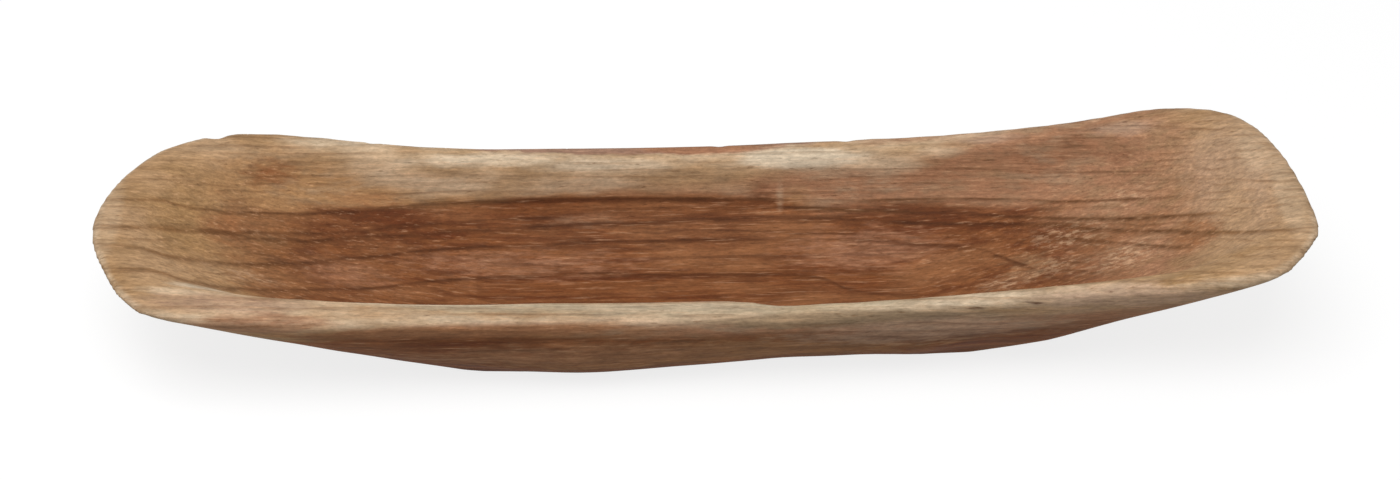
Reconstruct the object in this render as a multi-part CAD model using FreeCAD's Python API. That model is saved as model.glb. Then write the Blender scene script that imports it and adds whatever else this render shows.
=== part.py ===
"""Wooden snack boat: a long, narrow serving tray carved from one length of timber.

The boat is a single piece of wood. Its long hollow holds the snacks, a soft rim runs all
round it and dips in the middle, and both ends climb to a thin lip. Underneath it stands on
a flat that is planed along its keel.

Frame: X along the boat, left end at -X; Y across it, far rim at +Y; Z up. The origin is on
the standing face, under the middle of the boat. Millimetres throughout.
"""
import FreeCAD
import Part

import math
import os

Vector = FreeCAD.Vector

# Overall form
LENGTH = 500.0  # tip to tip
WIDTH = 124.0  # across the shoulders, near the two ends
RIM_HEIGHT = 44.0  # rim above the table at the middle of the boat
LEFT_RISE = 15.0  # how much higher the rim is at the left tip
RIGHT_RISE = 25.0  # and at the right tip
SHEER_POWER = 2.0  # 1 is a straight climb to the tips, more keeps the middle level

# Standing flat
BASE_LENGTH = 237.0
BASE_WIDTH = 75.5
BASE_SHIFT = 5.0  # its middle lies right of the boat's middle
WAIST = 8.0  # how far its near side is drawn in where more wood was taken off
WAIST_PLACE = 72.0  # right of the boat's middle
WAIST_REACH = 66.0  # half the length of that place

# Hollow
FLOOR_THICKNESS = 12.0  # wood left under the hollow
FLOOR_LENGTH = 190.0  # level strip along the bottom of the hollow
FLOOR_WIDTH = 28.0
FLOOR_EASE = 0.95  # share of the level strip inside which the floor is one flat face

# Lips, across their tops, and the softened edges of the rim
LEFT_LIP = 18.0
RIGHT_LIP = 16.0
FAR_ROUND = (3.0, 5.0)  # towards the hollow: how far the softened edge reaches in and down
NEAR_ROUND = (0.0, 3.0)
END_ROUND = (9.0, 4.0)
ROUND_EASE = (0.74, 0.98)  # where the sides' edges start and end their change to the ends'
OUTER_ROUND = 3.5  # towards the outside
RIM_CROWN = 0.5  # the rim's top is a little higher along its middle

# Chip knocked out of the far rim, near its left end
CHIP_PLACE = -204.0  # along the boat
CHIP_RADIUS = 7.0
CHIP_DEPTH = 2.5
CHIP_SEARCH = 2000  # points along the rim among which its place is looked for

# Fullness of the walls: 1 is a straight slope, 2 is round, more is boxy
SIDE_WALL_POWER = 2.25
END_WALL_POWER = 1.0
SIDE_HOLLOW_POWER = 2.3
END_HOLLOW_POWER = 1.3
LEFT_EASE = (0.43, 0.80)  # where the sides' fullness starts and ends its change to the ends'
RIGHT_EASE = (0.16, 1.06)  # both as shares of half the length

# Plan of the rim, anticlockwise from the corner of the right end: the outer edge as shares of
# half the length and half the width, and the share of that width which the rim takes there
OUTLINE = [
    (1.007, -0.57, 0.242),
    (1.007, -0.25, 0.226),
    (0.993, 0.20, 0.210),
    (0.967, 0.54, 0.194),
    (0.912, 0.82, 0.194),
    (0.80, 0.96, 0.194),
    (0.66, 0.925, 0.169),
    (0.40, 0.925, 0.161),
    (0.05, 0.94, 0.161),
    (-0.35, 0.91, 0.161),
    (-0.58, 0.96, 0.194),
    (-0.75, 1.00, 0.210),
    (-0.87, 0.87, 0.210),
    (-0.95, 0.55, 0.210),
    (-0.995, 0.04, 0.226),
    (-0.981, -0.39, 0.258),
    (-0.938, -0.74, 0.274),
    (-0.874, -0.953, 0.290),
    (-0.70, -1.00, 0.258),
    (-0.35, -0.965, 0.234),
    (0.04, -0.93, 0.234),
    (0.15, -0.925, 0.161),
    (0.45, -0.91, 0.145),
    (0.80, -0.965, 0.177),
    (0.932, -0.92, 0.226),
    (0.976, -0.76, 0.242),
]
WALL_STEPS = 3  # steps of control points up each wall
ROUND_STEPS = 2  # narrow strips that make up each softened edge
DEGREE = 3
SAME_HEIGHT = 1e-6  # edges this near to a height lie at it


def sheer(x):
    """Height of the rim above the table at x."""
    rise = RIGHT_RISE if x > 0 else LEFT_RISE
    return RIM_HEIGHT + rise * abs(x / (LENGTH / 2)) ** SHEER_POWER


def plan_curve():
    """Closed curve through the points of the plan."""
    curve = Part.BSplineCurve()
    curve.interpolate(
        Points=[Vector(*point) for point in OUTLINE],
        Parameters=[float(i) for i in range(len(OUTLINE) + 1)],
        PeriodicFlag=True,
    )
    return curve


def outer_point(plan):
    """The rim's outer edge at a point of the plan, before it is softened."""
    x, y = plan.x * LENGTH / 2, plan.y * WIDTH / 2
    return Vector(x, y, sheer(x))


def mouth_point(plan):
    """The rim's inner edge: in from the outer one by the lip along, by the rim across."""
    lip = RIGHT_LIP if plan.x > 0 else LEFT_LIP
    x, y = plan.x * (LENGTH / 2 - lip), plan.y * WIDTH / 2 * (1 - plan.z)
    return Vector(x, y, sheer(x))


def floor_point(plan):
    """Edge of the level strip along the bottom of the hollow."""
    return Vector(plan.x * FLOOR_LENGTH / 2, plan.y * FLOOR_WIDTH / 2, FLOOR_THICKNESS)


def base_point(plan):
    """Edge of the standing flat, drawn in at the waist of its near side."""
    x, y = plan.x * BASE_LENGTH / 2 + BASE_SHIFT, plan.y * BASE_WIDTH / 2
    if y < 0:
        y *= 1 - WAIST / (BASE_WIDTH / 2) * math.exp(-(((x - WAIST_PLACE) / WAIST_REACH) ** 2))
    return Vector(x, y, 0)


def eased(plan, side, end, ease=None):
    """Value at a point of the plan: a side's, changed smoothly to an end's towards the tips."""
    start, stop = ease or (RIGHT_EASE if plan.x > 0 else LEFT_EASE)
    way = min(1.0, max(0.0, (abs(plan.x) - start) / (stop - start)))
    return side + (end - side) * way * way * (3 - 2 * way)


def wall(low, high, fullness):
    """Points up a wall that leaves its level area flat and ends upright."""
    points = []
    for i in range(WALL_STEPS + 1):
        angle = i / WALL_STEPS * math.pi / 2
        out = math.sin(angle) ** (2 / fullness)
        up = 1 - math.cos(angle) ** (2 / fullness)
        level = low + (high - low) * out
        points.append(Vector(level.x, level.y, low.z + (high.z - low.z) * up))
    return points


def softened(start, corner, stop):
    """Points over a softened edge, which bends from start to stop inside their corner."""
    points = []
    for i in range(ROUND_STEPS + 1):
        way = i / ROUND_STEPS
        points.append(start * (1 - way) ** 2 + corner * 2 * way * (1 - way) + stop * way ** 2)
    return points


def inner_edge(plan):
    """Softened edge from the hollow's wall up to the rim's top."""
    mouth = mouth_point(plan)
    across = (outer_point(plan) - mouth).normalize()
    reach, drop = FAR_ROUND if plan.y > 0 else NEAR_ROUND
    reach = eased(plan, reach, END_ROUND[0], ROUND_EASE)
    drop = eased(plan, drop, END_ROUND[1], ROUND_EASE)
    return softened(mouth - across * reach - Vector(0, 0, drop), mouth, mouth + across * drop)


def outer_edge(plan):
    """Softened edge from the rim's top down to the outer wall."""
    outer = outer_point(plan)
    across = (outer - mouth_point(plan)).normalize()
    return softened(outer - across * OUTER_ROUND, outer, outer - Vector(0, 0, OUTER_ROUND))


def rim_column(plan):
    """Points over the rim: its inner edge, the crown along its top and its outer edge."""
    inner, outer = inner_edge(plan), outer_edge(plan)
    crown = (inner[-1] + outer[0]) * 0.5 + Vector(0, 0, RIM_CROWN)
    return [*inner, crown, *outer]


def hollow_column(plan):
    """Control points from the flat of the floor up to the rim's inner edge."""
    floor = floor_point(plan)
    middle = Vector(floor.x * FLOOR_EASE, floor.y * FLOOR_EASE, floor.z)
    return [middle] + wall(floor, inner_edge(plan)[0], eased(plan, SIDE_HOLLOW_POWER, END_HOLLOW_POWER))


def outside_column(plan):
    """Control points from the rim's outer edge down to the standing flat."""
    return wall(base_point(plan), outer_edge(plan)[-1], eased(plan, SIDE_WALL_POWER, END_WALL_POWER))[::-1]


def band(columns, degree):
    """Face that runs right round the boat, smooth along it and of a degree across it."""
    around, along = len(columns), len(columns[0])
    inner_knots = along - degree - 1
    surface = Part.BSplineSurface()
    surface.buildFromPolesMultsKnots(
        columns,
        [1] * (around + 1),
        [degree + 1] + [1] * inner_knots + [degree + 1],
        [float(i) for i in range(around + 1)],
        [float(i) for i in range(inner_knots + 2)],
        True,
        False,
        DEGREE,
        degree,
    )
    return surface.toShape()


def level_face(face, height):
    """Flat face inside the closed edge that a band has at a height."""
    for edge in face.Edges:
        lowest, highest = edge.BoundBox.ZMin, edge.BoundBox.ZMax
        if max(abs(lowest - height), abs(highest - height)) < SAME_HEIGHT:
            return Part.Face(Part.Wire([edge]))
    raise ValueError("the band has no closed edge at that height")


def skin():
    """All the faces of the boat, from the floor of the hollow over the rim to the base."""
    plan = plan_curve().getPoles()
    hollow = band([hollow_column(point) for point in plan], DEGREE)
    outside = band([outside_column(point) for point in plan], DEGREE)
    rim = [rim_column(point) for point in plan]
    strips = [band([points[i : i + 2] for points in rim], 1) for i in range(len(rim[0]) - 1)]
    return [level_face(hollow, FLOOR_THICKNESS), hollow, *strips, outside, level_face(outside, 0.0)]


def chip():
    """The ball-shaped bite that the chip takes out of the far rim's upper edge."""
    far_side = [point for point in plan_curve().discretize(CHIP_SEARCH) if point.y > 0]
    place = min(far_side, key=lambda point: abs(point.x * LENGTH / 2 - CHIP_PLACE))
    outer = outer_point(place)
    outward = (outer - mouth_point(place)).normalize() + Vector(0, 0, 1)
    return Part.makeSphere(CHIP_RADIUS, outer + outward.normalize() * (CHIP_RADIUS - CHIP_DEPTH))


def boat():
    """The whole boat as one solid."""
    shell = Part.makeShell(skin())
    shell.sewShape()
    return Part.Solid(shell).cut(chip()).Solids[0]


def centred(shape):
    """Shifts the boat so that its box stands centred on the origin."""
    box = shape.optimalBoundingBox(False, False)
    return shape.translated(Vector(-box.Center.x, -box.Center.y, -box.ZMin))


os.makedirs("parts", exist_ok=True)
tray = centred(boat())
tray.exportStep("parts/tray.step")
print("tray", tray.isValid(), tray.optimalBoundingBox(False, False))
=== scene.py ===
"""Wooden snack boat, dressed for its picture: one carved piece of timber on a pale table.

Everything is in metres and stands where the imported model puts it: X along the boat, Y across
it to the far rim, Z up. The skin's marks and the wood's tones are worked out in millimetres.
"""

import math

import bpy
import numpy as np
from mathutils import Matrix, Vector, noise


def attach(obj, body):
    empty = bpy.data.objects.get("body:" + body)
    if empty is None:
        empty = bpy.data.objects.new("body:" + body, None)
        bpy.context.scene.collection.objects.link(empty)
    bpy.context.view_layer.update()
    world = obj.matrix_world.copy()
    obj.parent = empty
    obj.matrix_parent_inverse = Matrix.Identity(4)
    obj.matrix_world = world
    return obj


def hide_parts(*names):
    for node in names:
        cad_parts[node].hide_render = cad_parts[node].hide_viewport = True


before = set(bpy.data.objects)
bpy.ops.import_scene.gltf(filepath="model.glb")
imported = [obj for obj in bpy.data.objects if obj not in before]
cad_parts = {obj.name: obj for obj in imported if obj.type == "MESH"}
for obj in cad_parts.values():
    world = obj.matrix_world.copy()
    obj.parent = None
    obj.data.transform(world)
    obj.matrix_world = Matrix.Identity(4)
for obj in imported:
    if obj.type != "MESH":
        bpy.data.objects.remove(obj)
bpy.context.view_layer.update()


# The boat's body: one length of timber, hollowed along its grain with a gouge, shaped outside
# with a drawknife and sanded by hand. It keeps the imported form, on a finer and softer skin.
MM = 0.001
GRID = 0.0015
SANDING_FACTOR = 0.5
SANDING_ROUNDS = 5

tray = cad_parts["tray"]
boat = bpy.data.objects.new("snack_boat", tray.data.copy())
bpy.context.scene.collection.objects.link(boat)

fine_skin = boat.modifiers.new("fine_skin", "REMESH")
fine_skin.mode = "VOXEL"
fine_skin.voxel_size = GRID
fine_skin.use_smooth_shade = True
sanding = boat.modifiers.new("sanding", "SMOOTH")
sanding.factor = SANDING_FACTOR
sanding.iterations = SANDING_ROUNDS
bpy.context.view_layer.update()
carved = bpy.data.meshes.new_from_object(boat.evaluated_get(bpy.context.evaluated_depsgraph_get()))
boat.modifiers.clear()
boat.data = carved

points = np.empty(len(carved.vertices) * 3)
carved.vertices.foreach_get("co", points)
points = points.reshape(-1, 3) / MM
normals = np.empty(len(carved.vertices) * 3)
carved.vertex_normals.foreach_get("vector", normals)
normals = normals.reshape(-1, 3)

# How strongly each place of the skin bulges, as its two curvatures added up, per mm: the rim's
# edges do, the walls and the floor hardly. Most points have four neighbours, a grid step away.
BULGE_ROUNDS = 5
NEIGHBOURS = 4.0
ends = np.empty(len(carved.edges) * 2, dtype=np.int32)
carved.edges.foreach_get("vertices", ends)
first_end, other_end = ends.reshape(-1, 2).T


def neighbours_mean(values):
    """For every point of the skin, the mean of a value over the points next to it."""
    total = np.bincount(first_end, values[other_end], len(points))
    total += np.bincount(other_end, values[first_end], len(points))
    return total / np.bincount(ends, minlength=len(points))


middle = np.column_stack([neighbours_mean(points[:, axis]) for axis in range(3)])
bulge = np.einsum("ij,ij->i", points - middle, normals) * NEIGHBOURS / (GRID / MM) ** 2
for _ in range(BULGE_ROUNDS):
    bulge = 0.5 * bulge + 0.5 * neighbours_mean(bulge)
carved.attributes.new("bulge", "FLOAT", "POINT").data.foreach_set("value", bulge)


def hand_marks(reach, depth, shift):
    """Smooth uneven heights, each mark as long, wide and high as reach says, all in mm."""
    places = points / np.array(reach) + shift
    return depth * np.array([noise.noise(Vector(place)) for place in places])


def rising(values, start, stop):
    """0 up to start, 1 from stop on and even between them. Start may be the greater of the two."""
    return np.clip((values - start) / (stop - start), 0.0, 1.0)


# Long shallow gouge strokes and shorter dips from the sanding block, both off the rim's edges and
# the tips, and a slow sway of the whole. Nothing marks the flat that the boat stands on.
GOUGE = ((75.0, 9.0, 11.0), 0.24, 0.0)
SANDING = ((22.0, 16.0, 16.0), 0.16, 17.3)
SWAY = ((60.0, 60.0, 60.0), 0.45, 34.6)
EDGE_BULGE = 0.10
TIP_FADE = (235.0, 205.0)
FLAT_FADE = (0.6, 3.6)
off_edge = rising(bulge, EDGE_BULGE, 0.0) * rising(np.abs(points[:, 0]), *TIP_FADE)
height = off_edge * (hand_marks(*GOUGE) + hand_marks(*SANDING)) + hand_marks(*SWAY)
points += normals * (height * rising(points[:, 2], *FLAT_FADE))[:, None]

# The near side's lower edge wavers where the drawknife took more or less wood: where along the
# boat, how far it reaches there and how far it stands out, in mm. It fades out on what faces
# inward, up the wall and towards the keel.
WAVERS = ((-46.0, 28.0, 2.0), (28.0, 20.0, -1.8), (86.0, 18.0, 2.2), (148.0, 26.0, 2.4))
OUTWARD = (0.2, 0.8)
LOW_DOWN = (36.0, 16.0)
NEAR_SIDE = (12.0, 32.0)
low_edge = rising(-normals[:, 1] - normals[:, 2], *OUTWARD)
low_edge *= rising(points[:, 2], *LOW_DOWN) * rising(-points[:, 1], *NEAR_SIDE)
for at, reach, out in WAVERS:
    points[:, 1] -= out * low_edge * np.exp(-(((points[:, 0] - at) / reach) ** 2))

# Small nicks that were knocked out of the far rim: place, radius and depth in mm.
NICKS = (
    ((-205.0, 52.0, 55.0), 4.0, 1.0),
    ((10.0, 57.0, 46.0), 2.2, 1.1),
    ((65.0, 57.5, 48.0), 2.4, 1.2),
    ((-214.0, 50.0, 54.0), 3.0, 0.7),
    ((-141.0, 59.0, 49.0), 2.4, 0.6),
)
for spot, radius, depth in NICKS:
    near = np.exp(-(np.linalg.norm(points - spot, axis=1) / radius) ** 2)
    points -= normals * (near * depth)[:, None]

carved.vertices.foreach_set("co", (points * MM).ravel())
carved.update()
for face in carved.polygons:
    face.use_smooth = True

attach(boat, "root")
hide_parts("tray")


# The boat's wood: a broad dark heart under a pale outer band, cut so that the growth lines
# run the whole length. It is sanded and barely oiled, so it stays matt.
def shader_node(tree, kind, inputs=None, **settings):
    """Adds a shader node, with its settings and with a value or a link on its inputs."""
    made = tree.nodes.new("ShaderNode" + kind)
    for name, value in settings.items():
        setattr(made, name, value)
    for name, value in (inputs or {}).items():
        if isinstance(value, bpy.types.NodeSocket):
            tree.links.new(value, made.inputs[name])
        else:
            made.inputs[name].default_value = value
    return made


def number(tree, operation, first, second=0.0, third=0.0):
    """The result of a sum on numbers that change over the surface."""
    return shader_node(tree, "Math", {0: first, 1: second, 2: third}, operation=operation).outputs[0]


def arrow(tree, operation, first, second):
    """The result of a sum on places."""
    return shader_node(tree, "VectorMath", {0: first, 1: second}, operation=operation).outputs[0]


def measured(tree, operation, first, second=(0.0, 0.0, 0.0)):
    """A number measured on places, such as a length."""
    made = shader_node(tree, "VectorMath", {0: first, 1: second}, operation=operation)
    return made.outputs["Value"]


def faded(tree, value, start, stop, low=0.0, high=1.0):
    """A value that changes smoothly from low to high while another goes from start to stop."""
    inputs = {"Value": value, "From Min": start, "From Max": stop, "To Min": low, "To Max": high}
    return shader_node(tree, "MapRange", inputs, interpolation_type="SMOOTHSTEP").outputs[0]


def faded_straight(tree, value, start, stop, low=0.0, high=1.0):
    """The same as faded, but at an even rate and not held at its ends."""
    inputs = {"Value": value, "From Min": start, "From Max": stop, "To Min": low, "To Max": high}
    return shader_node(tree, "MapRange", inputs, clamp=False).outputs[0]


def grain_noise(tree, place, size, detail=2.0, roughness=0.5):
    """Uneven values about 0.5 whose spots are as long, wide and high as size says in mm."""
    stretched = arrow(tree, "DIVIDE", place, size)
    inputs = {"Vector": stretched, "Scale": 1.0, "Detail": detail, "Roughness": roughness}
    return shader_node(tree, "TexNoise", inputs).outputs["Fac"]


def tinted(tree, amount, first, second, way="MIX"):
    """A colour that goes from the first to the second with an amount."""
    inputs = {0: amount, 6: first, 7: second}
    return shader_node(tree, "Mix", inputs, data_type="RGBA", blend_type=way).outputs[2]


# Lines drawn along the boat are given within this many mm of its middle.
HALF_LENGTH = 250.0


def along_boat(tree, along, line):
    """A value that follows a line drawn along the boat, from (x, value) points."""
    low, high = min(value for _, value in line), max(value for _, value in line)
    stops = [((x / HALF_LENGTH + 1.0) / 2.0, (value - low) / (high - low)) for x, value in line]
    share = faded_straight(tree, along, -HALF_LENGTH, HALF_LENGTH)
    curve = shader_node(tree, "FloatCurve", {"Value": share})
    drawn = curve.mapping.curves[0]
    drawn.points[0].location = stops[0]
    drawn.points[1].location = stops[-1]
    for stop in stops[1:-1]:
        drawn.points.new(*stop)
    curve.mapping.update()
    return faded_straight(tree, curve.outputs[0], 0.0, 1.0, low, high)


def new_group(name, inputs, outputs):
    """An empty node group with its named sockets, and its input and output nodes."""
    group = bpy.data.node_groups.new(name, "ShaderNodeTree")
    for label, kind in inputs:
        group.interface.new_socket(label, in_out="INPUT", socket_type="NodeSocket" + kind)
    for label in outputs:
        group.interface.new_socket(label, in_out="OUTPUT", socket_type="NodeSocketFloat")
    return group, group.nodes.new("NodeGroupInput").outputs, group.nodes.new("NodeGroupOutput").inputs


# One dark line at a level: a thin dark layer, with a hard upper and a soft lower side. It draws the
# growth lines, two of which are partly painted shade under the near rim.
LOWER_SIDE = 0.55
growth_and_shade_line, given, result = new_group(
    "growth_and_shade_line",
    [(name, "Float") for name in ("Level", "Along", "At", "Width", "From", "To", "Fade")],
    ["Mask"],
)
above = number(growth_and_shade_line, "SUBTRACT", given["Level"], given["At"])
below = number(growth_and_shade_line, "MULTIPLY", above, -LOWER_SIDE)
away = number(growth_and_shade_line, "MAXIMUM", above, below)
share = number(growth_and_shade_line, "DIVIDE", away, given["Width"])
bell = number(growth_and_shade_line, "MULTIPLY", number(growth_and_shade_line, "POWER", share, 2.0), -1.0)
bell = number(growth_and_shade_line, "EXPONENT", bell)
start = number(growth_and_shade_line, "SUBTRACT", given["Along"], given["From"])
stop = number(growth_and_shade_line, "SUBTRACT", given["To"], given["Along"])
inside = number(growth_and_shade_line, "DIVIDE", number(growth_and_shade_line, "MINIMUM", start, stop), given["Fade"])
inside = faded(growth_and_shade_line, inside, 0.0, 1.0)
growth_and_shade_line.links.new(number(growth_and_shade_line, "MULTIPLY", bell, inside), result["Mask"])

# One patch of another tone, with a ragged edge.
RAGS = (9.0, 2.5, 2.5)
patch_inputs = [(name, "Vector") for name in ("Place", "Middle", "Reach")]
patch_inputs += [(name, "Float") for name in ("Ragged", "Inner")]
patch, given, result = new_group("patch", patch_inputs, ["Mask"])
offset = arrow(patch, "SUBTRACT", given["Place"], given["Middle"])
distance = measured(patch, "LENGTH", arrow(patch, "DIVIDE", offset, given["Reach"]))
edge_noise = grain_noise(patch, given["Place"], RAGS, 3.0)
ragged = number(patch, "MULTIPLY", number(patch, "SUBTRACT", edge_noise, 0.5), given["Ragged"])
distance = number(patch, "ADD", distance, ragged)
patch.links.new(faded(patch, distance, 1.0, given["Inner"]), result["Mask"])

# The tones of the sapwood, of the brown round the heart, of the heart, of the lines and the flecks.
CREAM = (0.720, 0.590, 0.430, 1.0)
SAP_PALE = (0.640, 0.470, 0.310, 1.0)
SAP_ASH = (0.455, 0.395, 0.270, 1.0)
SAP_ROSE = (0.500, 0.330, 0.225, 1.0)
SAP_PINK = (0.350, 0.195, 0.132, 1.0)
SAP_TAN = (0.450, 0.275, 0.145, 1.0)
SAP_OLIVE = (0.355, 0.200, 0.082, 1.0)
OLIVE_GREY = (0.300, 0.205, 0.120, 1.0)
MID_BROWN = (0.365, 0.182, 0.098, 1.0)
BROWN_OLIVE = (0.365, 0.198, 0.087, 1.0)
HEART_ROSE = (0.360, 0.168, 0.090, 1.0)
HEART_LIGHT = (0.300, 0.125, 0.050, 1.0)
HEART = (0.215, 0.074, 0.024, 1.0)
HEART_DARK = (0.125, 0.034, 0.010, 1.0)
LINE_HEART = (0.080, 0.024, 0.007, 1.0)
LINE_SAP = (0.200, 0.095, 0.035, 1.0)
FLECK = (0.520, 0.315, 0.185, 1.0)

wood = bpy.data.materials.new("boat_wood")
wood.use_nodes = True
tree = wood.node_tree
tree.nodes.clear()
in_metres = shader_node(tree, "TexCoord").outputs["Object"]
place = shader_node(tree, "VectorMath", {0: in_metres, "Scale": 1.0 / MM}, operation="SCALE").outputs[0]
parts = shader_node(tree, "SeparateXYZ", {0: place}).outputs
along, across, up = parts["X"], parts["Y"], parts["Z"]

# The fibres don't run quite straight: they wander up, down and sideways on their way.
WANDER_SIZE = (170.0, 40.0, 40.0)
WANDER_REACH = (0.0, 4.0, 4.0)
wander_inputs = {"Vector": arrow(tree, "DIVIDE", place, WANDER_SIZE), "Scale": 1.0, "Detail": 2.0}
wander = shader_node(tree, "TexNoise", wander_inputs).outputs["Color"]
wander = arrow(tree, "MULTIPLY", arrow(tree, "SUBTRACT", wander, (0.5, 0.5, 0.5)), WANDER_REACH)
swayed = arrow(tree, "ADD", place, wander)

# The layers of the wood lie across a slope, low along the near side and high along the far one.
# A layer's level is its distance in mm from the one through the middle of the hollow.
LAYER_SLOPE = (0.017, 0.643, 0.766)
LAYER_MIDDLE = (0.4, 12.0, 28.2)
LAYER_WOBBLE = 1.6
WOBBLE_SIZE = (40.0, 14.0, 14.0)
offset = arrow(tree, "SUBTRACT", place, LAYER_MIDDLE)
level = measured(tree, "DOT_PRODUCT", offset, LAYER_SLOPE)
wobble = grain_noise(tree, place, WOBBLE_SIZE, 2.0)
level = number(tree, "MULTIPLY_ADD", number(tree, "SUBTRACT", wobble, 0.5), LAYER_WOBBLE, level)

# The heart's upper border, as its height on the far wall and on the near wall along the boat,
# and the border of the paler brown that lies round it.
HEART_FAR = (
    (-250, 44), (-215, 46), (-190, 40), (-157, 33), (-107, 28), (-59, 29), (32, 28.5), (50, 25),
    (120, 27), (150, 30), (185, 36), (215, 46), (250, 50),
)
HEART_NEAR = (
    (-250, 44), (-205, 39), (-170, 39), (-130, 41), (-80, 40.5), (0, 37), (60, 34), (120, 34),
    (180, 40), (250, 48),
)
BROWN_FAR = (
    (-250, 40), (-230, 49), (-200, 51), (-165, 46), (-140, 37), (-107, 32), (-59, 32), (10, 32),
    (32, 37), (60, 40), (86, 40), (100, 43), (115, 48), (128, 53), (150, 57), (185, 62), (215, 60),
    (236, 56), (250, 52),
)
BROWN_NEAR_GAIN = 6.0
NEAR_TO_FAR = (-48.0, 36.0)
UNEVENNESS = 14.0
UNEVEN_SIZE = (70.0, 12.0, 12.0)
HEART_EDGE = (-2.0, 3.0)
HEART_ENDS = ((-240.0, -150.0), (212.0, 130.0))
BROWN_EDGE = (-6.0, 4.0)
BROWN_ENDS = ((-248.0, -190.0), (240.0, 185.0))


def off_ends(left, right):
    """1 along the middle of the boat, fading out towards its ends, from (none, full) places."""
    return number(tree, "MINIMUM", faded(tree, along, *left), faded(tree, along, *right))


far_share = faded(tree, across, *NEAR_TO_FAR)
near_share = number(tree, "SUBTRACT", 1.0, far_share)
broad = grain_noise(tree, place, UNEVEN_SIZE, 3.0)
unevenness = number(tree, "MULTIPLY", number(tree, "SUBTRACT", broad, 0.5), UNEVENNESS)
near_height = number(tree, "MULTIPLY", along_boat(tree, along, HEART_NEAR), near_share)
heart_height = number(tree, "MULTIPLY_ADD", along_boat(tree, along, HEART_FAR), far_share, near_height)
border = number(tree, "ADD", number(tree, "SUBTRACT", heart_height, up), unevenness)
near_height = number(tree, "MULTIPLY_ADD", near_share, BROWN_NEAR_GAIN, near_height)
brown_height = number(tree, "MULTIPLY_ADD", along_boat(tree, along, BROWN_FAR), far_share, near_height)
brown_border = number(tree, "ADD", number(tree, "SUBTRACT", brown_height, up), unevenness)
heart = number(tree, "MULTIPLY", faded(tree, border, *HEART_EDGE), off_ends(*HEART_ENDS))
brown = number(tree, "MULTIPLY", faded(tree, brown_border, *BROWN_EDGE), off_ends(*BROWN_ENDS))

# Broad tones: pale along both rims, tan at the ends, brown and dark brown in the hollow. Of the
# four numbers of a fade, the first two say where it runs and the others from what to what.
PALE_SIDES = (28.0, 46.0)
PALE_ENDS = (238.0, 160.0)
PALE_FADE = (0.38, 0.62, 1.0, 0.55)
OLIVE_FADE = (0.42, 0.66, 0.0, 0.6)
HEART_STREAKS = (0.36, 0.62)
LIGHT_FADE = (0.40, 0.68, 0.0, 0.8)
BROWN_TURN = (-120.0, 20.0)
BROWN_FADE = (0.30, 0.60, 0.55, 1.0)
BROWN_DARKNESS = 0.7
STREAK_SIZE = (120.0, 3.2, 3.2)
CLOUD_SIZE = (55.0, 20.0, 20.0)
MOTTLE_SIZE = (16.0, 5.0, 5.0)
streaks = grain_noise(tree, swayed, STREAK_SIZE, 4.0, 0.6)
cloud = grain_noise(tree, place, CLOUD_SIZE, 3.0)
mottle = grain_noise(tree, place, MOTTLE_SIZE, 4.0, 0.6)
sideways = number(tree, "ABSOLUTE", across)
lengthways = number(tree, "ABSOLUTE", along)
pale = number(tree, "MULTIPLY", faded(tree, sideways, *PALE_SIDES), faded(tree, lengthways, *PALE_ENDS))
pale = number(tree, "MULTIPLY", pale, faded(tree, cloud, *PALE_FADE))
sap = tinted(tree, pale, SAP_TAN, SAP_PALE)
sap = tinted(tree, faded(tree, cloud, *OLIVE_FADE), sap, SAP_OLIVE)
dark_heart = tinted(tree, faded(tree, streaks, *HEART_STREAKS), HEART_DARK, HEART)
dark_heart = tinted(tree, faded(tree, cloud, *LIGHT_FADE), dark_heart, HEART_LIGHT)
brown_tone = tinted(tree, faded(tree, along, *BROWN_TURN), BROWN_OLIVE, MID_BROWN)
brown_spread = number(tree, "MULTIPLY", brown, faded(tree, mottle, *BROWN_FADE))
colour = tinted(tree, brown_spread, sap, brown_tone)
colour = tinted(tree, heart, colour, dark_heart)
darkness = number(tree, "MAXIMUM", heart, number(tree, "MULTIPLY", brown, BROWN_DARKNESS))
line_colour = tinted(tree, darkness, LINE_SAP, LINE_HEART)

# The edges of the rim are pale, unevenly: partly rubbed, and partly a painted highlight where the
# rounded edges catch the light.
RUBBED_HIGHLIT_BULGE = (0.08, 0.22)
RUBBED_HIGHLIT_FADE = (0.30, 0.60, 0.08, 0.42)
bulge = shader_node(tree, "Attribute", attribute_name="bulge").outputs["Fac"]
edges = faded(tree, bulge, *RUBBED_HIGHLIT_BULGE)
rubbed_and_highlit = number(tree, "MULTIPLY", edges, faded(tree, mottle, *RUBBED_HIGHLIT_FADE))
colour = tinted(tree, rubbed_and_highlit, colour, CREAM)

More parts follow.
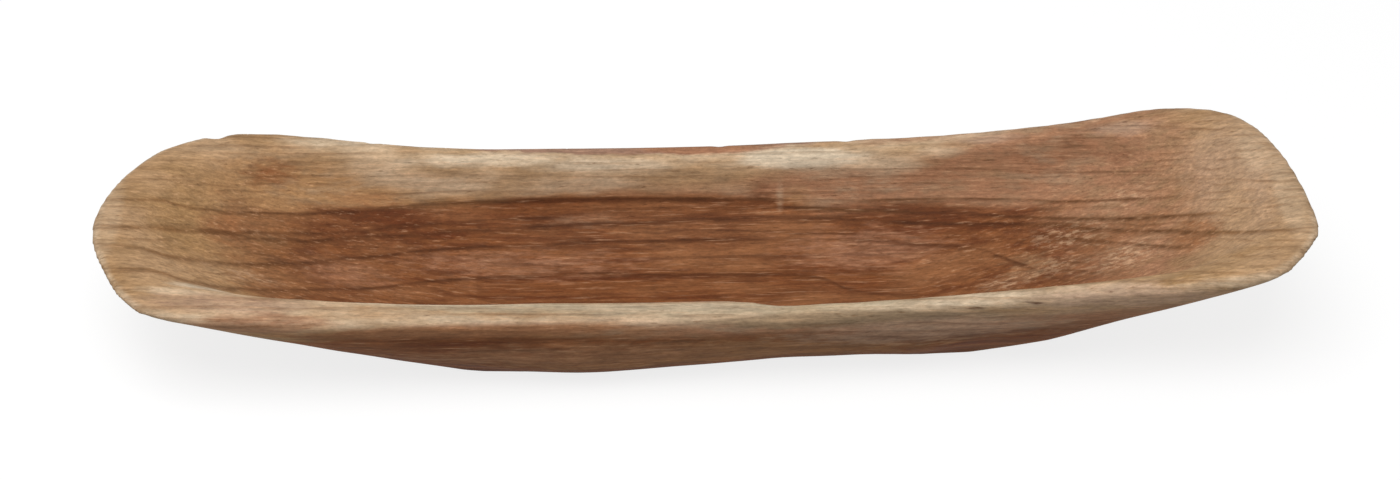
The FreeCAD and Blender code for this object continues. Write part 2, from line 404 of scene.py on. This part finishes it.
# Patches of other tones, each where the picture shows one, with places and reaches in mm. Ragged
# is how torn the edge is, inner the share of the reach that is full, and speckled how much the
# patch thins between its specks. A later one lies over those before it.
PATCHES = (
    # middle, reach, ragged, inner, speckled, colour, strength
    ((-181.0, 40.0, 46.0), (19.0, 9.0, 8.0), 0.9, 0.2, 0.2, HEART, 0.85),
    ((-212.0, 4.0, 50.0), (30.0, 30.0, 12.0), 0.9, 0.2, 0.2, SAP_OLIVE, 0.80),
    ((-194.0, 10.0, 41.0), (34.0, 13.0, 10.0), 1.1, 0.1, 0.2, HEART_LIGHT, 0.95),
    ((-158.0, 23.0, 28.0), (34.0, 10.0, 7.0), 1.2, 0.2, 0.4, HEART_DARK, 0.75),
    ((-126.0, 33.0, 27.0), (44.0, 9.0, 7.0), 0.9, 0.2, 0.2, HEART_DARK, 0.65),
    ((-35.0, 34.0, 22.0), (85.0, 8.0, 6.0), 0.9, 0.2, 0.3, HEART_DARK, 0.55),
    ((96.0, 32.0, 25.0), (72.0, 7.0, 6.0), 0.9, 0.1, 0.3, HEART_DARK, 0.60),
    ((-78.0, 14.0, 15.0), (88.0, 13.0, 8.0), 1.7, 0.1, 0.55, HEART_ROSE, 0.90),
    ((72.0, 18.0, 16.0), (50.0, 17.0, 9.0), 1.5, 0.2, 0.45, HEART_ROSE, 1.00),
    ((-48.0, 35.0, 21.0), (22.0, 5.0, 4.0), 1.0, 0.2, 0.6, FLECK, 0.40),
    ((-150.0, -2.0, 24.0), (44.0, 14.0, 10.0), 1.4, 0.1, 0.40, HEART_ROSE, 0.70),
    ((-134.0, 30.0, 26.0), (26.0, 6.0, 5.0), 1.2, 0.1, 0.3, HEART_DARK, 0.90),
    ((-132.0, 23.0, 24.0), (40.0, 6.0, 5.0), 1.2, 0.1, 0.4, HEART_DARK, 0.80),
    ((-144.0, 38.0, 32.0), (26.0, 5.0, 5.0), 1.0, 0.2, 0.3, HEART_LIGHT, 0.60),
    ((-203.0, -22.0, 44.0), (26.0, 9.0, 8.0), 0.9, 0.3, 0.2, SAP_TAN, 0.75),
    ((3.0, 26.0, 17.0), (32.0, 9.0, 6.0), 1.2, 0.2, 0.4, HEART_DARK, 0.65),
    ((-55.0, 26.0, 17.0), (50.0, 7.0, 5.0), 1.2, 0.2, 0.4, HEART_DARK, 0.55),
    ((0.0, -52.0, 22.0), (160.0, 11.0, 17.0), 1.1, 0.4, 0.2, BROWN_OLIVE, 0.60),
    ((80.0, 46.0, 41.0), (26.0, 4.0, 4.5), 0.5, 0.2, 0.0, SAP_PALE, 0.85),
    ((106.0, 47.5, 46.0), (18.0, 3.0, 4.0), 0.6, 0.1, 0.0, SAP_PALE, 0.70),
    ((128.0, 50.0, 50.5), (22.0, 3.0, 4.0), 0.6, 0.1, 0.0, SAP_ROSE, 0.75),
    ((80.0, 54.5, 50.5), (50.0, 4.5, 5.5), 0.7, 0.4, 0.0, MID_BROWN, 0.80),
    # The two cream bands below, along the far rim's inner edge, are pale wood with a painted highlight
    # where the rounded edge catches the light.
    ((-92.0, 48.5, 45.0), (52.0, 5.0, 4.5), 0.7, 0.2, 0.2, CREAM, 0.80),
    ((-40.0, 47.0, 42.0), (50.0, 4.0, 4.0), 0.5, 0.2, 0.0, CREAM, 0.45),
    ((-158.0, 56.0, 50.0), (38.0, 6.0, 5.0), 0.8, 0.2, 0.2, CREAM, 0.55),
    ((-25.0, 55.5, 46.5), (88.0, 6.0, 5.5), 0.6, 0.7, 0.0, SAP_PINK, 0.95),
    ((2.0, 53.5, 45.5), (36.0, 4.0, 4.0), 0.6, 0.5, 0.0, HEART_ROSE, 0.95),
    ((45.0, 48.0, 43.5), (36.0, 6.0, 5.5), 0.6, 0.5, 0.0, CREAM, 0.95),
    # This cream line along the near rim's inner edge is pale wood with a painted highlight where the
    # rounded edge catches the light.
    ((-204.0, -40.5, 51.5), (32.0, 3.5, 4.0), 0.6, 0.3, 0.0, CREAM, 0.80),
    ((-212.0, -46.0, 55.0), (22.0, 3.5, 4.0), 0.7, 0.3, 0.0, SAP_PALE, 0.85),
    ((-191.0, -52.0, 52.0), (48.0, 8.0, 8.0), 0.8, 0.4, 0.3, SAP_PINK, 0.62),
    # The two cream lines below carry on along the near rim's inner edge: pale wood with a painted
    # highlight where the rounded edge catches the light.
    ((-118.0, -48.0, 45.0), (70.0, 4.5, 5.0), 0.6, 0.3, 0.0, CREAM, 0.80),
    ((-40.0, -50.0, 44.0), (130.0, 3.5, 5.0), 0.6, 0.3, 0.0, CREAM, 0.50),
    ((110.0, -53.5, 50.0), (66.0, 5.5, 6.0), 0.6, 0.3, 0.2, CREAM, 0.60),
    ((-10.0, -51.0, 45.0), (190.0, 7.0, 7.0), 0.6, 0.4, 0.2, SAP_ASH, 0.50),
    ((60.0, -57.5, 43.0), (78.0, 4.5, 6.0), 0.6, 0.5, 0.0, OLIVE_GREY, 0.90),
    ((-56.0, -54.0, 24.0), (100.0, 10.0, 13.0), 0.9, 0.3, 0.3, MID_BROWN, 0.60),
    # Painted shade: the two rows below darken a band just under the near rim's outer edge, where the
    # wall turns away from the light.
    ((-90.0, -61.0, 42.5), (98.0, 5.0, 5.5), 0.6, 0.5, 0.2, MID_BROWN, 0.90),
    ((-85.0, -61.5, 41.5), (105.0, 6.0, 5.5), 0.5, 0.6, 0.1, HEART_LIGHT, 0.60),
    ((-62.0, -58.0, 48.0), (112.0, 4.5, 4.5), 0.6, 0.2, 0.2, CREAM, 0.42),
    # Painted shade: a darker band just under the near rim's outer edge at its left end, where the wall
    # turns away from the light.
    ((-178.0, -61.0, 49.0), (38.0, 6.0, 6.5), 0.6, 0.5, 0.2, MID_BROWN, 0.90),
    ((92.0, -54.0, 32.0), (74.0, 10.0, 13.0), 0.8, 0.3, 0.2, SAP_ROSE, 0.70),
    ((168.0, -58.0, 53.0), (66.0, 8.0, 11.0), 0.8, 0.3, 0.3, SAP_ROSE, 0.85),
    ((222.0, 5.0, 62.0), (34.0, 50.0, 20.0), 0.5, 0.3, 0.0, SAP_ROSE, 0.50),
    ((222.0, -10.0, 58.0), (15.0, 26.0, 9.0), 0.7, 0.2, 0.2, SAP_TAN, 0.65),
    # The three pale strips below, across the end lips, are painted highlight where the flat lips above
    # the end slopes catch the light.
    ((233.0, 21.0, 66.5), (12.0, 24.0, 6.0), 0.6, 0.2, 0.0, SAP_PALE, 0.45),
    ((242.0, -12.0, 68.0), (8.0, 40.0, 6.0), 0.4, 0.4, 0.0, SAP_PALE, 0.45),
    ((-244.0, -5.0, 59.0), (7.0, 36.0, 6.0), 0.4, 0.4, 0.0, SAP_PALE, 0.35),
    ((28.0, 41.0, 28.0), (9.0, 7.0, 10.0), 1.0, 0.0, 0.4, HEART_DARK, 0.65),
    ((36.0, 40.0, 28.5), (2.6, 7.0, 12.0), 1.0, 0.0, 0.5, SAP_PALE, 0.52),
    ((44.0, 39.0, 28.0), (11.0, 7.0, 7.0), 1.0, 0.2, 0.3, SAP_OLIVE, 0.45),
    ((166.0, 2.0, 33.0), (48.0, 18.0, 12.0), 1.4, 0.0, 0.2, HEART, 0.42),
    ((160.0, 9.0, 31.0), (42.0, 12.0, 9.0), 1.6, 0.0, 1.0, FLECK, 0.95),
    ((180.0, 21.0, 41.0), (40.0, 11.0, 9.0), 1.4, 0.0, 0.9, FLECK, 0.75),
    ((178.0, -12.0, 37.0), (38.0, 13.0, 10.0), 1.6, 0.1, 0.9, FLECK, 1.00),
    ((152.0, -7.0, 27.0), (24.0, 8.0, 6.0), 1.4, 0.0, 0.9, FLECK, 0.75),
    ((129.0, -10.0, 21.0), (24.0, 7.0, 6.0), 1.3, 0.1, 0.8, FLECK, 0.90),
    ((104.0, 8.0, 15.0), (46.0, 12.0, 6.0), 1.3, 0.1, 0.4, HEART_LIGHT, 0.60),
    ((-186.0, -17.0, 38.0), (36.0, 6.0, 9.0), 1.0, 0.2, 0.8, FLECK, 0.60),
    ((158.0, 44.0, 47.0), (42.0, 8.0, 8.0), 1.0, 0.2, 0.7, HEART_DARK, 0.22),
    ((183.0, 40.0, 48.5), (7.5, 6.5, 6.5), 0.9, 0.5, 0.5, HEART_DARK, 0.36),
    ((162.0, 47.0, 52.0), (7.0, 5.0, 5.0), 1.0, 0.3, 0.5, HEART_DARK, 0.36),
    ((191.0, -56.0, 60.0), (15.0, 5.0, 5.0), 0.9, 0.3, 0.6, SAP_OLIVE, 0.80),
    ((190.0, 2.0, 40.0), (34.0, 10.0, 10.0), 1.2, 0.2, 0.4, HEART_LIGHT, 0.70),
    ((184.0, 48.5, 57.0), (30.0, 5.0, 5.0), 0.7, 0.2, 0.0, SAP_ROSE, 0.75),
    ((139.0, -3.0, 23.5), (20.0, 11.0, 6.0), 1.2, 0.2, 0.4, SAP_TAN, 0.45),
    ((161.0, 26.0, 33.0), (20.0, 6.0, 6.0), 1.1, 0.2, 0.3, HEART_LIGHT, 0.40),
    ((207.0, -14.0, 48.0), (22.0, 14.0, 10.0), 1.1, 0.3, 0.3, HEART_LIGHT, 0.85),
    # The two dark lines below are painted shade in small cracks along the near rim.
    ((108.0, -56.0, 47.0), (7.0, 1.5, 1.1), 1.8, 0.2, 0.4, LINE_HEART, 0.80),
    ((130.0, -57.0, 50.0), (11.0, 1.4, 1.0), 2.0, 0.2, 0.4, LINE_HEART, 0.80),
)
SPECK_SIZE = (10.0, 1.8, 1.8)
SPECK_RISE = (0.46, 0.58)
speckle = faded(tree, grain_noise(tree, place, SPECK_SIZE, 4.0, 0.7), *SPECK_RISE)
for middle, extent, ragged, inner, speckled, tone, strength in PATCHES:
    values = {"Place": place, "Middle": middle, "Reach": extent, "Ragged": ragged, "Inner": inner}
    mask = shader_node(tree, "Group", values, node_tree=patch).outputs["Mask"]
    if speckled:
        spots = faded_straight(tree, speckle, 0.0, 1.0, 1.0 - speckled, 1.0)
        mask = number(tree, "MULTIPLY", mask, spots)
    colour = tinted(tree, number(tree, "MULTIPLY", mask, strength), colour, tone)

# The growth lines that the picture shows, drawn from end to end as they appear in it:
# width and strength, then points in the picture's pixels. The boat's ends stand nearer to the
# camera, so a millimetre is a little larger there.
GROWTH_AND_SHADE_LINES = (
    (0.54, 0.80, ((93, 200), (139, 199), (167, 203), (201, 209), (268, 213), (330, 212), (370, 209))),
    (0.85, 0.85, (
        (300, 212), (370, 208), (432, 203), (514, 199.5), (570, 198), (636, 197.5), (774, 199),
    )),
    (0.62, 0.75, (
        (101, 226), (137, 227), (190, 231), (240, 232), (307, 233), (350, 231), (391, 226), (444, 223),
        (514, 218), (560, 217),
    )),
    (0.85, 0.85, (
        (150, 226), (198, 229), (240, 236), (270, 240), (300, 241), (330, 238), (371, 236), (422, 235),
        (452, 231), (514, 228), (575, 224), (636, 222.5), (708, 219), (777, 217),
    )),
    (0.70, 0.80, (
        (93, 244), (125, 245), (150, 249), (175, 256), (201, 260), (230, 263), (268, 264), (330, 260),
        (371, 257), (412, 251.5), (452, 248.5), (534, 244.5), (575, 242.5), (650, 240.5), (765, 239),
    )),
    (0.58, 0.75, (
        (110, 268), (145, 268), (170, 272), (190, 278), (210, 283), (240, 287), (294, 289), (348, 289),
        (412, 283), (442, 280), (493, 277), (534, 276), (595, 274), (650, 275), (736, 274), (808, 277),
        (851, 290), (897, 295),
    )),
    (0.75, 0.95, ((782, 218), (860, 219), (925, 222), (969, 223.5), (1010, 223), (1040, 224))),
    (0.85, 1.00, ((1000, 223), (1040, 224), (1068, 225.5), (1127, 230), (1187, 231.5), (1240, 232))),
    (0.42, 0.75, ((1225, 232), (1264, 230), (1300, 227))),
    (0.70, 0.90, ((782, 206), (860, 209), (920, 211), (969, 212.5), (1010, 214.5), (1050, 216.5))),
    (0.62, 0.95, ((1030, 216), (1090, 218), (1151, 217), (1190, 214.5), (1219, 212))),
    (0.52, 0.85, ((870, 199), (950, 198), (1018, 197.5), (1090, 200), (1140, 198), (1185, 195.5))),
    (0.60, 0.80, ((1060, 236), (1085, 239), (1105, 241), (1130, 243), (1160, 246), (1190, 242))),
    (0.40, 0.65, ((640, 228), (700, 229), (770, 231), (840, 234), (900, 233))),
    (0.75, 0.75, ((860, 240), (920, 243.5), (969, 247), (1005, 257), (1030, 267), (1054, 278))),
    (0.40, 0.55, ((960, 166), (1030, 168), (1100, 170), (1180, 168))),
    (0.40, 0.45, ((1090, 127), (1130, 122), (1200, 124), (1262, 132))),
    (0.40, 0.35, ((1130, 180), (1200, 178), (1290, 186))),
    (0.40, 0.40, ((110, 180), (150, 178), (200, 183), (250, 190))),
    # These two lines under the near rim's outer edge are partly grain and partly painted shade, where
    # the wall turns away from the light.
    (1.00, 0.35, ((300, 332), (450, 333), (650, 332), (760, 334))),
    (0.60, 0.50, ((840, 331), (920, 333), (1010, 326), (1090, 312))),
)
PICTURE_MIDDLE = (700.0, 240.0)
PIXELS_PER_MM = 2.345
ENDS_NEARER = 0.05
LINE_FADE = 14.0


def drawn_place(pixel):
    """Where a pixel of the picture lies: its distance along the boat and its level, in mm."""
    aside, upward = pixel[0] - PICTURE_MIDDLE[0], PICTURE_MIDDLE[1] - pixel[1]
    scale = PIXELS_PER_MM * (1.0 + ENDS_NEARER * (aside / PICTURE_MIDDLE[0]) ** 2)
    return aside / scale + LAYER_MIDDLE[0], upward / scale


# They grow fainter here and there.
BREAK_SIZE = (28.0, 6.0, 6.0)
BREAK_FADE = (0.34, 0.60, 0.52, 1.0)
broken = faded(tree, grain_noise(tree, place, BREAK_SIZE, 3.0), *BREAK_FADE)
for width, strength, pixels in GROWTH_AND_SHADE_LINES:
    line = [drawn_place(pixel) for pixel in pixels]
    values = {
        "Level": level,
        "Along": along,
        "At": along_boat(tree, along, line),
        "Width": width,
        "From": line[0][0] - LINE_FADE,
        "To": line[-1][0] + LINE_FADE,
        "Fade": 2.0 * LINE_FADE,
    }
    mask = shader_node(tree, "Group", values, node_tree=growth_and_shade_line).outputs["Mask"]
    amount = number(tree, "MULTIPLY", mask, strength)
    colour = tinted(tree, number(tree, "MULTIPLY", amount, broken), colour, line_colour)

# Fainter lines between them, each with a soft and a hard side as well. They come and go.
FAINT_SPACING = 3.4
FAINT_WANDER = 1.6
FAINT_SOFT = (0.45, 0.92)
FAINT_HARD = (1.0, 0.95)
FAINT_FADE = (0.40, 0.64, 0.03, 0.38)
DRIFT_SIZE = (70.0, 11.0, 11.0)
COMING_SIZE = (45.0, 8.0, 8.0)
ring = number(tree, "DIVIDE", level, FAINT_SPACING)
drift = grain_noise(tree, place, DRIFT_SIZE, 2.0)
ring = number(tree, "MULTIPLY_ADD", drift, FAINT_WANDER, ring)
ring_share = number(tree, "FRACT", ring)
soft_side = faded(tree, ring_share, *FAINT_SOFT)
hard_side = faded(tree, ring_share, *FAINT_HARD)
faint = number(tree, "MULTIPLY", soft_side, hard_side)
come_and_go = grain_noise(tree, place, COMING_SIZE, 2.0)
faint_strength = faded(tree, come_and_go, *FAINT_FADE)
colour = tinted(tree, number(tree, "MULTIPLY", faint, faint_strength), colour, line_colour)

# Pores, fibres and the fuzz that sanding leaves. SPREAD is where most of their values lie, and
# a shade is how dark and how light they make the wood.
SPREAD = (0.25, 0.75)
PORE_SIZE = (7.0, 0.9, 0.9)
PORE_RISE = (0.58, 0.72)
PORE_DARKNESS = 0.55
FIBRE_SIZE = (18.0, 1.3, 1.3)
FIBRE_FADE = (0.54, 0.76, 0.0, 0.40)
FIBRE_SHADE = (0.76, 1.24)
FUZZ_SIZE = (3.0, 1.1, 1.1)
FUZZ_SHADE = (0.76, 1.24)
MOTTLE_SHADE = (0.79, 1.21)
pores = grain_noise(tree, swayed, PORE_SIZE, 3.0, 0.7)
pore_mask = faded(tree, pores, *PORE_RISE)
fibres = grain_noise(tree, swayed, FIBRE_SIZE, 3.0, 0.7)
fuzz = grain_noise(tree, place, FUZZ_SIZE, 3.0, 0.7)
colour = tinted(tree, number(tree, "MULTIPLY", pore_mask, PORE_DARKNESS), colour, line_colour)
colour = tinted(tree, faded(tree, fibres, *FIBRE_FADE), colour, FLECK)
shade = faded_straight(tree, fibres, *SPREAD, *FIBRE_SHADE)
shade = number(tree, "MULTIPLY", shade, faded_straight(tree, fuzz, *SPREAD, *FUZZ_SHADE))
shade = number(tree, "MULTIPLY", shade, faded_straight(tree, mottle, *SPREAD, *MOTTLE_SHADE))
tone = shader_node(tree, "CombineColor", {0: shade, 1: shade, 2: shade}).outputs[0]
colour = tinted(tree, 1.0, colour, tone, "MULTIPLY")

# The surface is matt. Fibres and fuzz stand up a little from it, and the pores are sunk.
FIBRE_RELIEF = 0.6
FUZZ_RELIEF = 0.4
PORE_RELIEF = 0.5
RELIEF_STRENGTH = 0.4
RELIEF_HEIGHT = 0.0004
DULLNESS = (0.66, 0.80)
GLINT = 0.15
relief = number(tree, "MULTIPLY", fuzz, FUZZ_RELIEF)
relief = number(tree, "MULTIPLY_ADD", fibres, FIBRE_RELIEF, relief)
relief = number(tree, "SUBTRACT", relief, number(tree, "MULTIPLY", pore_mask, PORE_RELIEF))
bump_inputs = {"Height": relief, "Strength": RELIEF_STRENGTH, "Distance": RELIEF_HEIGHT}
surface_inputs = {
    "Base Color": colour,
    "Roughness": faded_straight(tree, fibres, *SPREAD, *DULLNESS),
    "Normal": shader_node(tree, "Bump", bump_inputs).outputs[0],
    "Specular IOR Level": GLINT,
}
surface = shader_node(tree, "BsdfPrincipled", surface_inputs)
shader_node(tree, "OutputMaterial", {"Surface": surface.outputs[0]})

boat.data.materials.clear()
boat.data.materials.append(wood)


# The table: a plain pale sheet of matt card, laid flat under the boat. It shows white to the
# camera and keeps the boat's soft, faint shadow.
TABLE_SIZE = 4.0
TABLE_TONE = 0.42
SEEN_TONE = 0.24
TABLE_GLOW = 0.80
GLOW_RISE = (0.4, 1.4)
WHITE = (1.0, 1.0, 1.0, 1.0)


def shown_white(tree):
    """1 for what the camera sees, straight or by way of gloss or glass, and 0 for other rays."""
    rays = shader_node(tree, "LightPath").outputs
    by_way = number(tree, "MAXIMUM", rays["Is Glossy Ray"], rays["Is Transmission Ray"])
    return number(tree, "MAXIMUM", rays["Is Camera Ray"], by_way)


table_mesh = bpy.data.meshes.new("table_sheet")
half = TABLE_SIZE / 2
corners = [(-half, -half, 0), (half, -half, 0), (half, half, 0), (-half, half, 0)]
table_mesh.from_pydata(corners, [], [(0, 1, 2, 3)])
table = bpy.data.objects.new("table_sheet", table_mesh)
bpy.context.scene.collection.objects.link(table)
sheet = bpy.data.materials.new("table_white")
sheet.use_nodes = True
tree = sheet.node_tree
tree.nodes.clear()
seen = shown_white(tree)
tone = faded_straight(tree, seen, 0.0, 1.0, TABLE_TONE, SEEN_TONE)
matt = shader_node(tree, "BsdfDiffuse", {"Color": tone})
away = measured(tree, "LENGTH", shader_node(tree, "TexCoord").outputs["Object"])
glow = number(tree, "MULTIPLY", seen, faded(tree, away, *GLOW_RISE, TABLE_GLOW, 1.0))
white = shader_node(tree, "Emission", {"Color": WHITE, "Strength": glow})
lit = shader_node(tree, "AddShader", {0: matt.outputs[0], 1: white.outputs[0]})
shader_node(tree, "OutputMaterial", {"Surface": lit.outputs[0]})
table_mesh.materials.append(sheet)

# The light of a plain studio: a soft sky from all round, which shows white to the camera, and
# one broad lamp above the near side of the boat.
SKY_STRENGTH = 0.36
LAMP_PLACE = Vector((-0.2, -0.45, 1.4))
LAMP_AIM = Vector((0.0, 0.0, 0.0))
LAMP_SIZE = (1.2, 0.8)
LAMP_ENERGY = 16.0
world = bpy.data.worlds.new("studio")
world.use_nodes = True
bpy.context.scene.world = world
tree = world.node_tree
tree.nodes.clear()
sky = shader_node(tree, "Background", {"Color": WHITE, "Strength": SKY_STRENGTH})
backdrop = shader_node(tree, "Background", {"Color": WHITE, "Strength": 1.0})
seen = shown_white(tree)
mixed = shader_node(tree, "MixShader", {0: seen, 1: sky.outputs[0], 2: backdrop.outputs[0]})
shader_node(tree, "OutputWorld", {"Surface": mixed.outputs[0]})

lamp_data = bpy.data.lights.new("softbox", "AREA")
lamp_data.shape = "RECTANGLE"
lamp_data.size, lamp_data.size_y = LAMP_SIZE
lamp_data.energy = LAMP_ENERGY
lamp = bpy.data.objects.new("softbox", lamp_data)
lamp.location = LAMP_PLACE
lamp.rotation_euler = (LAMP_PLACE - LAMP_AIM).to_track_quat("Z", "Y").to_euler()
bpy.context.scene.collection.objects.link(lamp)

# The camera stands 1.1 m away, 40 degrees up and a little to the left, and looks down across the
# near rim into the hollow.
VIEW_TARGET = Vector(LAYER_MIDDLE) * MM
VIEW_DISTANCE = 1.1
VIEW_ELEVATION = math.radians(40.0)
VIEW_AZIMUTH = math.radians(-1.5)
SENSOR_MM = 36.0
PIXELS_ACROSS = 1400
camera_data = bpy.data.cameras.new("camera")
camera_data.sensor_width = SENSOR_MM
camera_data.sensor_fit = "HORIZONTAL"
camera_data.lens = PIXELS_PER_MM * VIEW_DISTANCE / MM / PIXELS_ACROSS * SENSOR_MM
camera = bpy.data.objects.new("camera", camera_data)
back = Vector((
    math.sin(VIEW_AZIMUTH) * math.cos(VIEW_ELEVATION),
    -math.cos(VIEW_AZIMUTH) * math.cos(VIEW_ELEVATION),
    math.sin(VIEW_ELEVATION),
))
camera.location = VIEW_TARGET + back * VIEW_DISTANCE
camera.rotation_euler = back.to_track_quat("Z", "Y").to_euler()
bpy.context.scene.collection.objects.link(camera)
bpy.context.scene.camera = camera
bpy.context.scene.view_settings.view_transform = "Standard"
